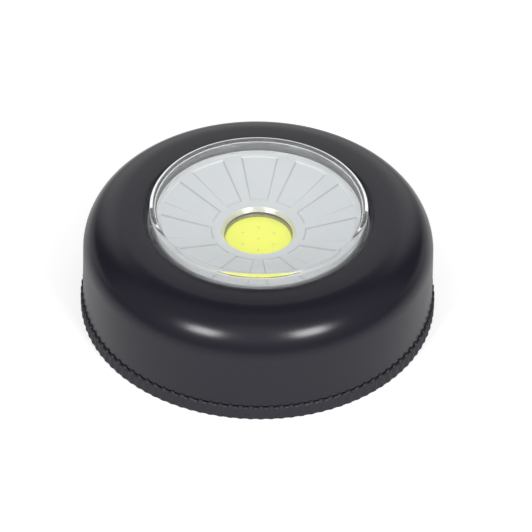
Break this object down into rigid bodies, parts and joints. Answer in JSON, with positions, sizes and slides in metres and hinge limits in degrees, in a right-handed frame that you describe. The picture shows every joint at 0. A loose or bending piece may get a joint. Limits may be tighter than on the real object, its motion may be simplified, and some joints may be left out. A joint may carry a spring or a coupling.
{
  "type": "puck light",
  "caption": "Round push-on puck light: black dome-shouldered housing, clear push-button lens over a silver reflector and yellow light disc, twist-off knurled back cover.",
  "frame": {"origin": "middle of the back cover's flat underside", "axes": "+Z out through the lens, square to the mounting face; +Y towards the switch; the cells lie along X"},
  "size_m": [0.075, 0.075, 0.0265],
  "materials": {
    "black_plastic": "satin black moulded plastic",
    "cover_plastic": "satin black moulded plastic with a knurled edge",
    "chassis_plastic": "plain black moulded plastic",
    "carrier_plastic": "white moulded plastic",
    "clear_plastic": "clear polished plastic",
    "silver_coat": "plastic with a satin silver metallised coat",
    "board_white": "white solder-masked circuit board",
    "dam_resin": "cream silicone resin",
    "yellow_phosphor": "yellow phosphor in clear silicone",
    "resistor_black": "black chip resistor",
    "cell_jacket": "plain foil jacket on a steel can",
    "nickel": "nickel-plated sheet steel",
    "spring_steel": "plated spring wire",
    "zinc_screw": "zinc-plated steel",
    "switch_body": "black switch body",
    "stem_white": "white plastic stem",
    "red_lead": "red insulated wire",
    "black_lead": "black insulated wire"
  },
  "bodies": {
    "base": {"back_cover": "cover_plastic"},
    "housing": {"outer_shell": "black_plastic", "battery_chassis": "chassis_plastic", "switch_body": "switch_body", "switch_pin_1": "nickel", "switch_pin_2": "nickel", "switch_lead": "red_lead", "red_lead": "red_lead", "black_lead": "black_lead", "battery_1": "cell_jacket", "battery_2": "cell_jacket", "battery_3": "cell_jacket", "contact_spring_1": "spring_steel", "contact_spring_2": "spring_steel", "contact_spring_3": "spring_steel", "positive_contact": "nickel", "bridge_contact_1": "nickel", "bridge_contact_2": "nickel", "negative_contact": "nickel", "chassis_screw_1": "zinc_screw", "chassis_screw_2": "zinc_screw", "chassis_screw_3": "zinc_screw", "return_spring_1": "spring_steel", "return_spring_2": "spring_steel", "return_spring_3": "spring_steel", "return_spring_4": "spring_steel"},
    "button": {"lens": "clear_plastic", "reflector": "silver_coat", "button_carrier": "carrier_plastic", "led_board": "board_white", "cob_dam": "dam_resin", "cob_phosphor": "yellow_phosphor", "resistor": "resistor_black", "board_screw_1": "zinc_screw", "board_screw_2": "zinc_screw"},
    "plunger": {"switch_stem": "stem_white"}
  },
  "joints": [
    {"name": "housing_twist", "type": "hinge", "parent": "base", "child": "housing", "pos_m": [0, 0, 0], "axis": [0, 0, 1], "range_deg": [0, 25]},
    {"name": "lens_push", "type": "slide", "parent": "housing", "child": "button", "axis": [0, 0, -1], "range_m": [0, 0.0014], "stiffness_N_per_m": 1800, "springref_m": -0.0015, "deforming": ["return_spring_1", "return_spring_2", "return_spring_3", "return_spring_4", "red_lead", "black_lead"]},
    {"name": "stem_push", "type": "slide", "parent": "housing", "child": "plunger", "axis": [0, 0, -1], "range_m": [0, 0.0014]}
  ],
  "couplings": [
    {"joint": "stem_push", "follows": "lens_push", "ratio": 1}
  ]
}
